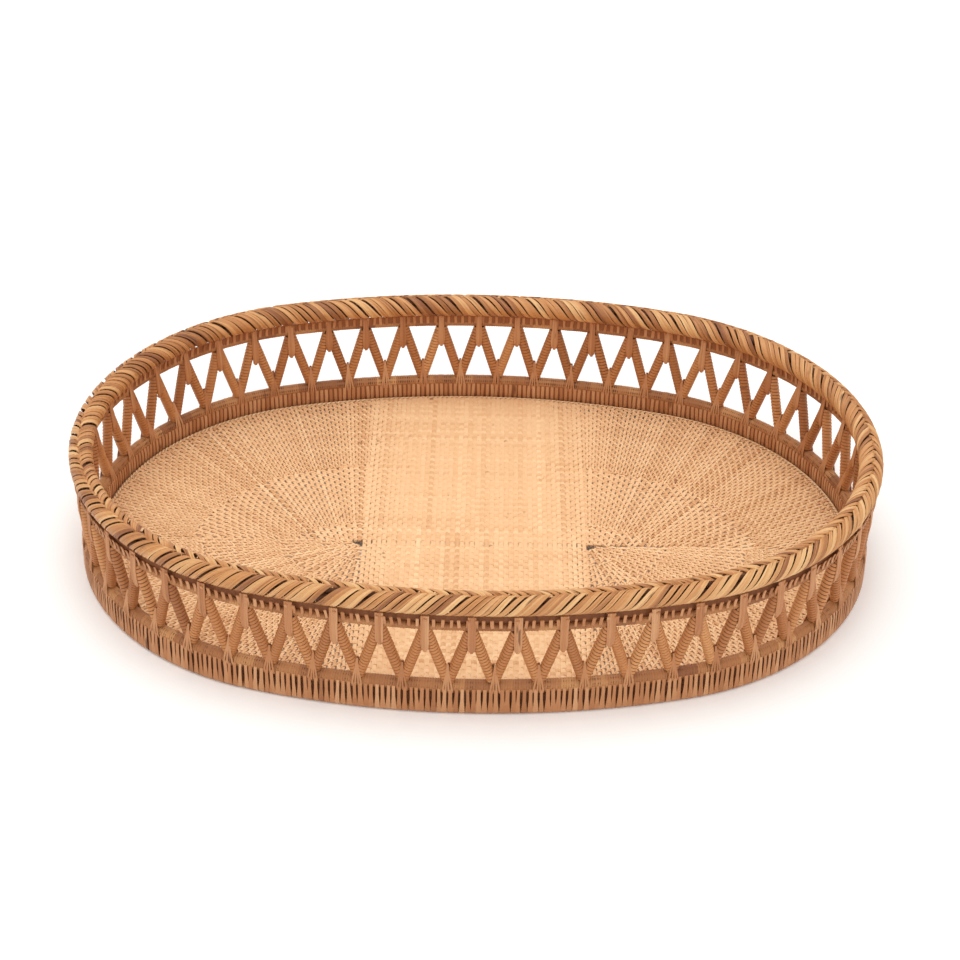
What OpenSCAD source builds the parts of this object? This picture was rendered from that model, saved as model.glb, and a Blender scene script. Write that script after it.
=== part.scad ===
// Oval serving tray of rattan: cane-wrapped rings, a zigzag openwork wall, a braided rim
// and a woven floor. The origin is the centre of the oval on the surface the tray stands
// on, +X runs along the length and +Z up. All sizes are in millimetres.
//
// Every ring follows one oval of four arcs, moved out or in by an offset, so all the
// rings share the same arc centres. The wall stands on the lower ring and leans out to
// the upper ring.

/* [Oval] */
// Half length of the guide oval, which the ring centrelines follow
half_length = 248; // [210:1:300]
// Half width of the guide oval
half_width = 176; // [173:1:212]
// Radius of the two end arcs
end_radius = 164; // [130:1:172]
// Gap between the lengths of a ring, where an end bend meets a side bend
butt_gap = 0.05; // [0.02:0.01:0.2]

/* [Foot] */
// Radius of the foot ring over its wrap
foot_radius = 2.2; // [1.8:0.1:3]
// Thickness of the foot ring's wrap, which is wound twice
foot_wrap_t = 1; // [0.8:0.1:1.4]
// Height of the open strip ladder between the foot ring and the lower ring
base_gap = 9.5; // [7:0.1:16]

/* [Wall] */
// Radius of the lower ring over its wrap
lower_radius = 4.1; // [3:0.1:6]
// Inward offset of the lower ring's centreline from the guide oval
lower_inset = 1.5; // [0:0.1:3]
// Radius of the upper ring over its wrap
upper_radius = 2.3; // [2:0.1:4]
// Outward offset of the upper ring's centreline from the guide oval
upper_outset = 1.5; // [0:0.1:4]
// Clear height of the zigzag between the lower and the upper ring
wall_gap = 38; // [28:0.5:60]
// Zigzag units around the tray
units = 52; // [40:4:60]
// Radius of a strut over its wrap
strut_radius = 3.3; // [2:0.1:4]
// Distance of a strut's centre from the middle of a joint, at the strut's end
strut_join = 0.6; // [0.4:0.1:3]
// Half the clear distance between the two struts of a joint
strut_room = 0.15; // [0.13:0.01:0.4]

/* [Rim] */
// Radius of the rolled rim over its braid
rim_radius = 7.5; // [6:0.1:9]
// Inward offset of the rim's centreline from the guide oval
rim_inset = 0.6; // [0:0.1:3]
// Clear height between the upper ring and the rim
rim_gap = 5.4; // [4:0.1:9]
// Thickness of the rim's braid
braid_t = 1.8; // [1:0.1:2.4]
// Turn of the braid's ridge from the top towards the outside, in degrees
ridge_turn = 10; // [0:1:40]

/* [Floor] */
// Height of the floor's underside over the surface the tray stands on
floor_clear = 5.8; // [4.5:0.1:8]
// Thickness of the stakes, which run from the middle of the floor to its edge
stake_t = 1.6; // [1.2:0.1:3]
// Thickness of the weavers on each face of the floor
weaver_t = 0.5; // [0.3:0.1:0.8]
// Radius of the rod around the floor's edge
edge_radius = 1.3; // [1:0.1:1.8]
// Length of the plain mat in the middle of the floor, where the stakes cross
mat_length = 144; // [120:1:200]
// Width of the mat
mat_width = 92; // [60:1:110]
// How far the middle of the mat lies behind the middle of the tray
mat_shift = 33; // [0:1:36]
// Splints side by side across the mat
mat_rows = 29; // [20:1:36]
// Gap between two splints
splint_gap = 0.2; // [0.1:0.05:0.5]

/* [Cane] */
// Thickness of the cane that wraps rods and rings
wrap_t = 0.5; // [0.3:0.1:0.8]
// Thickness of a ladder strip
strip_t = 0.6; // [0.4:0.1:0.9]
// Width of a ladder strip
strip_w = 2; // [1.2:0.1:3]
// Ladder strips in one zigzag unit
strips_per_unit = 3; // [2:1:4]
// Width of the tie at a top joint
top_tie_w = 5; // [3:0.1:6]
// Thickness of a tie
tie_t = 0.9; // [0.5:0.1:1.2]
// Length of a top tie below the upper ring
top_tie_drop = 15; // [8:0.5:20]
// Width of one finger of a bottom tie
finger_w = 1.5; // [1:0.1:2.5]
// Angle between the fingers of a bottom tie, in degrees
finger_fan = 10; // [6:1:16]
// Height that a bottom tie reaches up the struts
bottom_tie_rise = 13; // [8:0.5:18]

/* [Hidden] */
$fn = 48;

// The oval's four arcs: end arcs about (+-end_cx, 0), side arcs about (0, +-side_cy).
end_cx = half_length - end_radius;
side_radius = (end_cx * end_cx + half_width * half_width - end_radius * end_radius)
    / (2 * (half_width - end_radius));
side_cy = side_radius - half_width;
arc_turn = atan2(side_cy, end_cx);
end_arc = end_radius * arc_turn * PI / 180;
side_arc = side_radius * (90 - arc_turn) * PI / 180;
quarter = end_arc + side_arc;
pitch = 4 * quarter / units;

// The foot ring's section has flat sides, and the tray stands on the lowest of them.
foot_sides = 12;
half_side_turn = 180 / foot_sides;

// Ring heights, from the ground up
foot_z = foot_radius;
lower_z = foot_z + foot_radius + base_gap + lower_radius;
upper_z = lower_z + lower_radius + wall_gap + upper_radius;
rim_z = upper_z + upper_radius + rim_gap + rim_radius;

// The wall's own frame: y out of the wall, z up along it from the lower ring's centre
wall_run = upper_outset + lower_inset;
wall_rise = upper_z - lower_z;
wall_lean = atan2(wall_run, wall_rise);
wall_length = norm([wall_run, wall_rise]);

// Heights in the wall's frame between which the struts stand
strut_foot_z = lower_radius;
strut_head_z = wall_length - upper_radius;

// A bottom tie's plane touches the lower ring and leans in to rest on the struts.
tie_reach = norm([strut_radius, bottom_tie_rise]);
tie_lean = asin(lower_radius / tie_reach) - atan2(strut_radius, bottom_tie_rise);

// The rim's centre in the wall's frame
rim_run = lower_inset - rim_inset;
rim_rise = rim_z - lower_z;
rim_wy = rim_run * cos(wall_lean) - rim_rise * sin(wall_lean);
rim_wz = rim_run * sin(wall_lean) + rim_rise * cos(wall_lean);

// The outer strips lie against the lower ring, and the foot ring sits under them.
outer_face = lower_radius - lower_inset;
foot_offset = outer_face - foot_radius;
inner_face = -lower_inset - lower_radius;

// The edge rod lies against the inner strips, at the height of the floor's stakes, and
// the stakes' ends lie against the rod.
edge_offset = inner_face - strip_t - edge_radius;
stake_z = floor_clear + weaver_t;
edge_z = stake_z + stake_t / 2;
stake_offset = edge_offset - sqrt(edge_radius * edge_radius - stake_t * stake_t / 4);

// Three core rods fill the braid: each touches the other two and the braid's inside.
core_space = rim_radius - braid_t;
core_rod_r = core_space / (1 + 2 / sqrt(3));
core_rod_at = core_space - core_rod_r;

// Point on the oval at a distance s from the middle of the +X end, moved out by d
function wrap_s(s) = s - 4 * quarter * floor(s / (4 * quarter));
function quad_of(s) = floor(wrap_s(s) / quarter);
function into(s) = let (q = quad_of(s), r = wrap_s(s) - q * quarter)
    q % 2 == 0 ? r : quarter - r;
function turn_of(r) = r < end_arc
    ? r / end_radius * 180 / PI
    : arc_turn + (r - end_arc) / side_radius * 180 / PI;
function first_point(r, d) = let (a = turn_of(r)) r < end_arc
    ? [end_cx + (end_radius + d) * cos(a), (end_radius + d) * sin(a)]
    : [(side_radius + d) * cos(a), (side_radius + d) * sin(a) - side_cy];
function oval_point(s, d) = let (q = quad_of(s), p = first_point(into(s), d))
    [(q == 1 || q == 2 ? -1 : 1) * p[0], (q > 1 ? -1 : 1) * p[1]];
function oval_turn(s) = let (q = quad_of(s), a = turn_of(into(s)))
    [a, 180 - a, 180 + a, 360 - a][q];

// Point in the wall at s, at a height z up the wall from the lower ring's centre
function wall_point(s, z) = let (
    p = oval_point(s, z * sin(wall_lean) - lower_inset)
) [p[0], p[1], lower_z + z * cos(wall_lean)];

// Places its children at s on the oval: x along the oval, y outwards, z up.
module at_oval(s, d, z) {
    p = oval_point(s, d);
    translate([p[0], p[1], z]) rotate([0, 0, oval_turn(s) - 90]) children();
}

// As at_oval, leaning with the wall, with its origin on the lower ring's centreline.
module at_wall(s) {
    at_oval(s, -lower_inset, lower_z) rotate([-wall_lean, 0, 0]) children();
}

// Sweeps its children round a bend of radius r, from the angle a0 to a1. The ends stop
// half the butt gap short.
module bend(r, a0, a1) {
    trim = butt_gap / 2 / r * 180 / PI;
    rotate_extrude(angle = a1 - a0 - 2 * trim, start = a0 + trim, $fn = 360)
        translate([r, 0]) let ($fn = 48) children();
}

// Sweeps its children round the oval at the offset d and height z, as two end bends and
// two side bends that butt. The children are flat, with x outwards and y up.
module ring(d, z) {
    for (side = [0, 180]) rotate([0, 0, side]) {
        translate([end_cx, 0, z]) bend(end_radius + d, -arc_turn, arc_turn) children();
        translate([0, -side_cy, z])
            bend(side_radius + d, arc_turn, 180 - arc_turn) children();
    }
}

// Flat section of a wrap around a rod
module sleeve(r, t) {
    difference() {
        circle(r);
        circle(r - t);
    }
}

// Flat outline of the oval, moved in or out by d
module oval(d) {
    meet_x = end_cx + (end_radius + d) * cos(arc_turn);
    intersection() {
        translate([0, -side_cy]) circle(side_radius + d, $fn = 720);
        translate([0, side_cy]) circle(side_radius + d, $fn = 720);
        square([2 * meet_x, 4 * half_width], center = true);
    }
    for (side = [-1, 1]) intersection() {
        translate([side * end_cx, 0]) circle(end_radius + d, $fn = 360);
        translate([side * (meet_x + half_length / 2), 0])
            square([half_length, 4 * half_width], center = true);
    }
}

// Flat outline of the mat in the middle of the floor
module mat_outline() {
    translate([0, mat_shift]) square([mat_length, mat_width], center = true);
}

// A rod of radius r, bored if bore is over 0, that runs its own radius past two points
module rod_past(a, b, r, bore) {
    v = b - a;
    long = norm(v) + 2 * r;
    translate(a) rotate([0, acos(v[2] / norm(v)), atan2(v[1], v[0])])
        translate([0, 0, -r]) difference() {
            cylinder(h = long, r = r);
            if (bore > 0) translate([0, 0, -1]) cylinder(h = long + 2, r = bore);
        }
}

// The struts that lean to one side as they rise: lean is 1 or -1 along the oval. Each is
// cut flat where it meets the rings and, at its two joints, its neighbours.
module struts(lean, r, bore = 0) {
    span = pitch / 2 - 2 * strut_room;
    for (i = [0 : units - 1]) {
        s = i * pitch;
        intersection() {
            rod_past(
                wall_point(s - lean * (pitch / 2 - strut_join), strut_foot_z),
                wall_point(s - lean * strut_join, strut_head_z),
                r, bore
            );
            at_wall(s - lean * pitch / 4) translate([-span / 2, -2 * r, strut_foot_z])
                cube([span, 4 * r, strut_head_z - strut_foot_z]);
        }
    }
}

// Straight strips around the oval between two heights, with their near face at d
module strips(d, z0, z1) {
    for (i = [0 : units * strips_per_unit - 1])
        at_oval((i + 0.5) * pitch / strips_per_unit, d, z0)
            translate([-strip_w / 2, 0, 0]) cube([strip_w, strip_t, z1 - z0]);
}

// A top tie's plate lies on one face of the wall: side is 1 outside and -1 inside.
// It hangs from the rim, passes the upper ring and ends rounded between two struts.
function rim_under(y) = rim_wz - sqrt(rim_radius * rim_radius - pow(y - rim_wy, 2));

module top_ties(side) {
    face = max(upper_radius, strut_radius);
    low = wall_length - upper_radius - top_tie_drop;
    high = side > 0 ? rim_under(face) : rim_under(-face);
    for (i = [0 : units - 1])
        at_wall(i * pitch)
            translate([0, side > 0 ? face + tie_t : -face, 0])
                rotate([90, 0, 0]) linear_extrude(tie_t) {
                    translate([-top_tie_w / 2, low + top_tie_w / 2])
                        square([top_tie_w, high - low - top_tie_w / 2]);
                    translate([0, low + top_tie_w / 2]) circle(top_tie_w / 2);
                }
}

// A bottom tie's three fingers fan down over the lower ring.
module bottom_ties(side) {
    for (i = [0 : units - 1])
        at_wall((i + 0.5) * pitch)
            rotate([side * tie_lean, 0, 0])
                translate([0, side > 0 ? lower_radius + tie_t : -lower_radius, 0])
                    rotate([90, 0, 0]) linear_extrude(tie_t)
                        for (k = [-1 : 1])
                            translate([0, bottom_tie_rise]) rotate(k * finger_fan)
                                translate([-finger_w / 2, -bottom_tie_rise - lower_radius])
                                    square([finger_w, bottom_tie_rise + lower_radius]);
}

// One of the rim's core rods, turned round the rim's centre
module rim_core(turn) {
    ring(-rim_inset, rim_z)
        translate(core_rod_at * [cos(turn), sin(turn)]) circle(core_rod_r);
}

// Half of the braid's section, from the bottom of the rim up to the ridge
module braid_half(outer) {
    ridge = 90 - ridge_turn;
    reach = 3 * rim_radius;
    far = outer ? 0 : 180;
    intersection() {
        sleeve(rim_radius, braid_t);
        polygon([
            [0, 0], [0, -reach], reach * [cos(far), sin(far) - 1], reach * [cos(far), 1],
            reach * [cos(ridge), sin(ridge)]
        ]);
    }
}

// Short strips that join the upper ring to the underside of the rim
module rim_strips(side) {
    high = side > 0 ? rim_under(upper_radius) : rim_under(-upper_radius);
    low = wall_length;
    for (i = [0 : units - 1], k = [1 : strips_per_unit - 1])
        at_wall((i + k / strips_per_unit) * pitch)
            translate([-strip_w / 2, side > 0 ? upper_radius : -upper_radius - strip_t, low])
                cube([strip_w, strip_t, high - low]);
}

// One face of the floor's weave, with its underside at z
module weavers(z) {
    translate([0, 0, z]) linear_extrude(weaver_t) oval(edge_offset - edge_radius);
}

module foot_rod() {
    color("burlywood") ring(foot_offset, foot_z) circle(foot_radius - foot_wrap_t);
}

module foot_wrap() {
    color("peru") ring(foot_offset, foot_z) difference() {
        polygon([
            for (k = [0 : foot_sides - 1]) let (turn = (2 * k + 1) * half_side_turn)
                foot_radius / cos(half_side_turn) * [cos(turn), sin(turn)]
        ]);
        circle(foot_radius - foot_wrap_t);
    }
}

module base_strips_outer() {
    color("tan") strips(outer_face, foot_z, lower_z);
}

module base_strips_inner() {
    color("tan") strips(inner_face - strip_t, floor_clear, lower_z);
}

module lower_ring_rod() {
    color("burlywood") ring(-lower_inset, lower_z) circle(lower_radius - wrap_t);
}

module lower_ring_wrap() {
    color("peru") ring(-lower_inset, lower_z) sleeve(lower_radius, wrap_t);
}

module struts_rising_left() {
    color("burlywood") struts(1, strut_radius - wrap_t);
}

module struts_rising_right() {
    color("burlywood") struts(-1, strut_radius - wrap_t);
}

module strut_wraps_left() {
    color("sandybrown") struts(1, strut_radius, strut_radius - wrap_t);
}

module strut_wraps_right() {
    color("sandybrown") struts(-1, strut_radius, strut_radius - wrap_t);
}

module bottom_ties_outer() {
    color("tan") bottom_ties(1);
}

module bottom_ties_inner() {
    color("tan") bottom_ties(-1);
}

module top_ties_outer() {
    color("tan") top_ties(1);
}

module top_ties_inner() {
    color("tan") top_ties(-1);
}

module upper_ring_rod() {
    color("burlywood") ring(upper_outset, upper_z) circle(upper_radius - wrap_t);
}

module upper_ring_wrap() {
    color("peru") ring(upper_outset, upper_z) sleeve(upper_radius, wrap_t);
}

module rim_strips_outer() {
    color("tan") rim_strips(1);
}

module rim_strips_inner() {
    color("tan") rim_strips(-1);
}

module rim_core_top() {
    color("burlywood") rim_core(90);
}

module rim_core_outer() {
    color("burlywood") rim_core(-30);
}

module rim_core_inner() {
    color("burlywood") rim_core(210);
}

module rim_braid_outer() {
    color("goldenrod") ring(-rim_inset, rim_z) braid_half(true);
}

module rim_braid_inner() {
    color("darkgoldenrod") ring(-rim_inset, rim_z) braid_half(false);
}

module floor_edge_rod() {
    color("peru") ring(edge_offset, edge_z) circle(edge_radius);
}

module floor_stakes() {
    color("wheat") translate([0, 0, stake_z]) linear_extrude(stake_t) difference() {
        oval(stake_offset);
        mat_outline();
    }
}

module floor_mat() {
    step = mat_width / mat_rows;
    color("burlywood") translate([0, mat_shift - mat_width / 2, stake_z])
        for (i = [0 : mat_rows - 1])
            translate([-mat_length / 2, i * step + splint_gap / 2, 0])
                cube([mat_length, step - splint_gap, stake_t]);
}

module floor_weavers_top() {
    color("moccasin") weavers(stake_z + stake_t);
}

module floor_weavers_under() {
    color("moccasin") weavers(stake_z - weaver_t);
}

foot_rod();
foot_wrap();
base_strips_outer();
base_strips_inner();
lower_ring_rod();
lower_ring_wrap();
struts_rising_left();
struts_rising_right();
strut_wraps_left();
strut_wraps_right();
bottom_ties_outer();
bottom_ties_inner();
top_ties_outer();
top_ties_inner();
upper_ring_rod();
upper_ring_wrap();
rim_strips_outer();
rim_strips_inner();
rim_core_top();
rim_core_outer();
rim_core_inner();
rim_braid_outer();
rim_braid_inner();
floor_edge_rod();
floor_stakes();
floor_mat();
floor_weavers_top();
floor_weavers_under();
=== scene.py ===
"""Looks of the oval rattan serving tray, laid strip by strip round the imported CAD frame.

Lengths are metres. A place on the tray is given as (s, d, z): s runs along the guide
oval from the +X end, counter-clockwise from above, d is the distance out from it, and z is
the height. The guide oval lies midway between the lower and the upper ring.
"""

import logging
import math
from dataclasses import dataclass, field
from enum import Enum

import bpy
import numpy as np
from mathutils import Matrix, Vector


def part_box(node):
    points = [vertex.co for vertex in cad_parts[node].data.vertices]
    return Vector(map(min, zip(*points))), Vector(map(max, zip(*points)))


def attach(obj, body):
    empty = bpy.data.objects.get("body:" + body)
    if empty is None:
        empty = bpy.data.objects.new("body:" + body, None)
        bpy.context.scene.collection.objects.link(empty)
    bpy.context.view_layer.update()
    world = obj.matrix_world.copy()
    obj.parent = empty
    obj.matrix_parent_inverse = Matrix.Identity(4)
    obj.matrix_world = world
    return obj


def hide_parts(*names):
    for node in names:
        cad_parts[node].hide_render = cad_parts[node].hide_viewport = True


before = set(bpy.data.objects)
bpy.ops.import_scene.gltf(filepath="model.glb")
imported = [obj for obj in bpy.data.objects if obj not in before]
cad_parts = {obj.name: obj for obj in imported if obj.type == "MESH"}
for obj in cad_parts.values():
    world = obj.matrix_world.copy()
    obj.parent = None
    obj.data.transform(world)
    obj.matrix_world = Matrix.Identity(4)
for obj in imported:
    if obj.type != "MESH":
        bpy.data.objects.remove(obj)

MM = 0.001
BODY = "root"
SPLINT_UV = "splint"
TONE = "tone"
UP = np.array([0.0, 0.0, 1.0])
FINEST_GAP = 1.9 * MM
COARSEST_STEP = 16

log = logging.getLogger("tray")
rng = np.random.default_rng(11)


def linear(hex_colour: str) -> tuple[float, float, float, float]:
    """Turns an sRGB hex colour into a linear colour.

    Args:
        hex_colour: Six hex digits with a leading #.

    Returns:
        Linear red, green and blue, and alpha 1.
    """
    channels = [int(hex_colour[i : i + 2], 16) / 255 for i in (1, 3, 5)]
    turned = [c / 12.92 if c <= 0.04045 else ((c + 0.055) / 1.055) ** 2.4 for c in channels]
    return (*turned, 1.0)


def unit(vectors: np.ndarray) -> np.ndarray:
    """Returns the vectors with length 1."""
    return vectors / np.linalg.norm(vectors, axis=-1, keepdims=True)


def wobble(count: int, size: float) -> np.ndarray:
    """Returns count small random numbers, spread by size about 0."""
    return rng.normal(0.0, size, count).clip(-2.2 * size, 2.2 * size)


def deselect() -> None:
    """Clears the selection, so that the next operator acts on one object."""
    for picked in list(bpy.context.selected_objects):
        picked.select_set(False)


# --- the tray's own geometry -------------------------------------------------------------


@dataclass(frozen=True)
class Guide:
    """The oval of four arcs that every ring follows."""

    half_length: float
    half_width: float
    end_centre: float = 84 * MM

    @property
    def end_radius(self) -> float:
        """Radius of the two end arcs."""
        return self.half_length - self.end_centre

    @property
    def side_radius(self) -> float:
        """Radius of the two side arcs."""
        e, b, r = self.end_centre, self.half_width, self.end_radius
        return (e * e + b * b - r * r) / (2 * (b - r))

    @property
    def side_centre(self) -> float:
        """How far a side arc's centre lies beyond the middle."""
        return self.side_radius - self.half_width

    @property
    def turn(self) -> float:
        """Angle at which an end arc meets a side arc."""
        return math.atan2(self.side_centre, self.end_centre)

    @property
    def length(self) -> float:
        """Length of the whole oval."""
        quarter = self.end_radius * self.turn + self.side_radius * (math.pi / 2 - self.turn)
        return 4 * quarter

    def _quadrant(self, s: np.ndarray) -> tuple[np.ndarray, np.ndarray]:
        """Splits s into its quadrant and the angle of the normal in the first quadrant."""
        quarter = self.length / 4
        s = np.asarray(s, float) % self.length
        quadrant = np.minimum(s // quarter, 3).astype(int)
        into = s - quadrant * quarter
        into = np.where(quadrant % 2 == 0, into, quarter - into)
        end_arc = self.end_radius * self.turn
        angle = np.where(
            into < end_arc,
            into / self.end_radius,
            self.turn + (into - end_arc) / self.side_radius,
        )
        return quadrant, angle

    def place(self, s: np.ndarray, d: np.ndarray, z: np.ndarray) -> np.ndarray:
        """Turns tray places into points.

        Args:
            s: Distances along the oval.
            d: Distances out from it.
            z: Heights.

        Returns:
            One row of x, y, z for each place.
        """
        s, d, z = np.broadcast_arrays(np.asarray(s, float), d, z)
        quadrant, angle = self._quadrant(s)
        end = angle < self.turn
        radius = np.where(end, self.end_radius, self.side_radius) + d
        x = np.where(end, self.end_centre, 0.0) + radius * np.cos(angle)
        y = radius * np.sin(angle) - np.where(end, 0.0, self.side_centre)
        x = np.where((quadrant == 1) | (quadrant == 2), -x, x)
        y = np.where(quadrant > 1, -y, y)
        return np.stack([x, y, z], -1)

    def outward(self, s: np.ndarray) -> np.ndarray:
        """Returns the level direction that points out of the oval at each s."""
        quadrant, angle = self._quadrant(s)
        x = np.where((quadrant == 1) | (quadrant == 2), -1, 1) * np.cos(angle)
        y = np.where(quadrant > 1, -1, 1) * np.sin(angle)
        return np.stack([x, y, np.zeros_like(x)], -1)

    def around(self, s: np.ndarray, angle: np.ndarray) -> np.ndarray:
        """Returns the direction at each s, turned by its angle from outward to up."""
        return self.outward(s) * np.cos(angle)[:, None] + UP * np.sin(angle)[:, None]

    def depth(self, points: np.ndarray) -> np.ndarray:
        """Returns how far inside the oval each point lies.

        Args:
            points: Rows of x, y or of x, y, z.

        Returns:
            Distances in from the oval.
        """
        x, y = np.abs(points[..., 0]), np.abs(points[..., 1])
        at_end = np.arctan2(y, x - self.end_centre) < self.turn
        end = self.end_radius - np.hypot(x - self.end_centre, y)
        side = self.side_radius - np.hypot(x, y + self.side_centre)
        return np.where(at_end, end, side)


@dataclass(frozen=True)
class Ring:
    """One hoop of the tray: its distance out from the guide, its height and its radius."""

    d: float
    z: float
    radius: float

    @classmethod
    def of(cls, guide_length: float, node: str) -> "Ring":
        """Reads a hoop off its CAD node.

        Args:
            guide_length: The guide oval's half length.
            node: Name of the CAD node.

        Returns:
            The hoop.
        """
        low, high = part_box(node)
        radius = (high.z - low.z) / 2
        return cls(high.x - radius - guide_length, (high.z + low.z) / 2, radius)

    def around(self, turns: np.ndarray, lift: float) -> tuple[np.ndarray, np.ndarray]:
        """Returns d and z on the hoop's surface.

        Args:
            turns: Angles from the outside over the top, in radians.
            lift: Distance over the surface.

        Returns:
            The distances out and the heights.
        """
        reach = self.radius + lift
        return self.d + reach * np.cos(turns), self.z + reach * np.sin(turns)


class Tray:
    """The measures that all sub-assemblies share, read off the CAD frame."""

    units = 52

    def __init__(self) -> None:
        """Reads the guide and the hoops."""
        low_box, high_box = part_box("lower_ring_wrap")[1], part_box("upper_ring_wrap")[1]
        low_r = (low_box.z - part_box("lower_ring_wrap")[0].z) / 2
        high_r = (high_box.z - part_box("upper_ring_wrap")[0].z) / 2
        self.guide = Guide(
            (low_box.x - low_r + high_box.x - high_r) / 2,
            (low_box.y - low_r + high_box.y - high_r) / 2,
        )
        a = self.guide.half_length
        self.lower = Ring.of(a, "lower_ring_wrap")
        self.upper = Ring.of(a, "upper_ring_wrap")
        foot_rod = Ring.of(a, "foot_rod")
        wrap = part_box("foot_wrap")[1].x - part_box("foot_rod")[1].x
        self.foot = Ring(foot_rod.d, foot_rod.z, foot_rod.radius + wrap)
        self.edge = Ring.of(a, "floor_edge_rod")
        outer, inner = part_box("rim_braid_outer"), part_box("rim_braid_inner")
        rim_radius = (max(outer[1].z, inner[1].z) - min(outer[0].z, inner[0].z)) / 2
        self.rim = Ring(outer[1].x - rim_radius - a, outer[0].z + rim_radius, rim_radius)
        self.pitch = self.guide.length / self.units

    def wall(self, z: np.ndarray) -> np.ndarray:
        """Returns how far out the leaning wall's middle is at each height."""
        share = (z - self.lower.z) / (self.upper.z - self.lower.z)
        return self.lower.d + share * (self.upper.d - self.lower.d)


# --- laying strips -----------------------------------------------------------------------


class Section(Enum):
    """Cross-sections that cane is split to, as the number of a stock's long edges."""

    FINE = 4
    HALF_ROUND = 6


class Stock:
    """A straight length of cane, modelled once, that is bent along many paths."""

    _made: dict[tuple[Section, int], "Stock"] = {}

    def __init__(self, section: Section, stations: int) -> None:
        """Models the length.

        Args:
            section: Cross-section.
            stations: Places along the length at which it can bend, ends included.
        """
        deselect()
        bpy.ops.mesh.primitive_cylinder_add(vertices=section.value, radius=0.5, depth=1)
        blank = bpy.context.object
        if stations > 2:
            bpy.ops.object.mode_set(mode="EDIT")
            bpy.ops.mesh.select_mode(type="EDGE")
            bpy.ops.mesh.select_all(action="DESELECT")
            bpy.ops.object.mode_set(mode="OBJECT")
            for edge in blank.data.edges:
                a, b = (blank.data.vertices[i].co for i in edge.vertices)
                edge.select = abs(a.z - b.z) > 0.5
            bpy.ops.object.mode_set(mode="EDIT")
            bpy.ops.mesh.subdivide(number_cuts=stations - 2)
            bpy.ops.object.mode_set(mode="OBJECT")
        places = np.array([v.co for v in blank.data.vertices])
        self.station = np.rint((places[:, 2] + 0.5) * (stations - 1)).astype(int)
        self.across = places[:, 0] / np.abs(places[:, 0]).max() / 2
        self.through = places[:, 1]
        faces = [list(p.vertices) for p in blank.data.polygons]
        self.walls = np.array([f for f in faces if len(set(self.station[f])) == 2])
        self.ends = np.array([f for f in faces if len(set(self.station[f])) == 1])
        mesh = blank.data
        bpy.data.objects.remove(blank)
        bpy.data.meshes.remove(mesh)

    @classmethod
    def get(cls, section: Section, stations: int) -> "Stock":
        """Returns the stock of that section and length, modelling it the first time."""
        key = (section, stations)
        if key not in cls._made:
            cls._made[key] = cls(section, stations)
        return cls._made[key]


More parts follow.
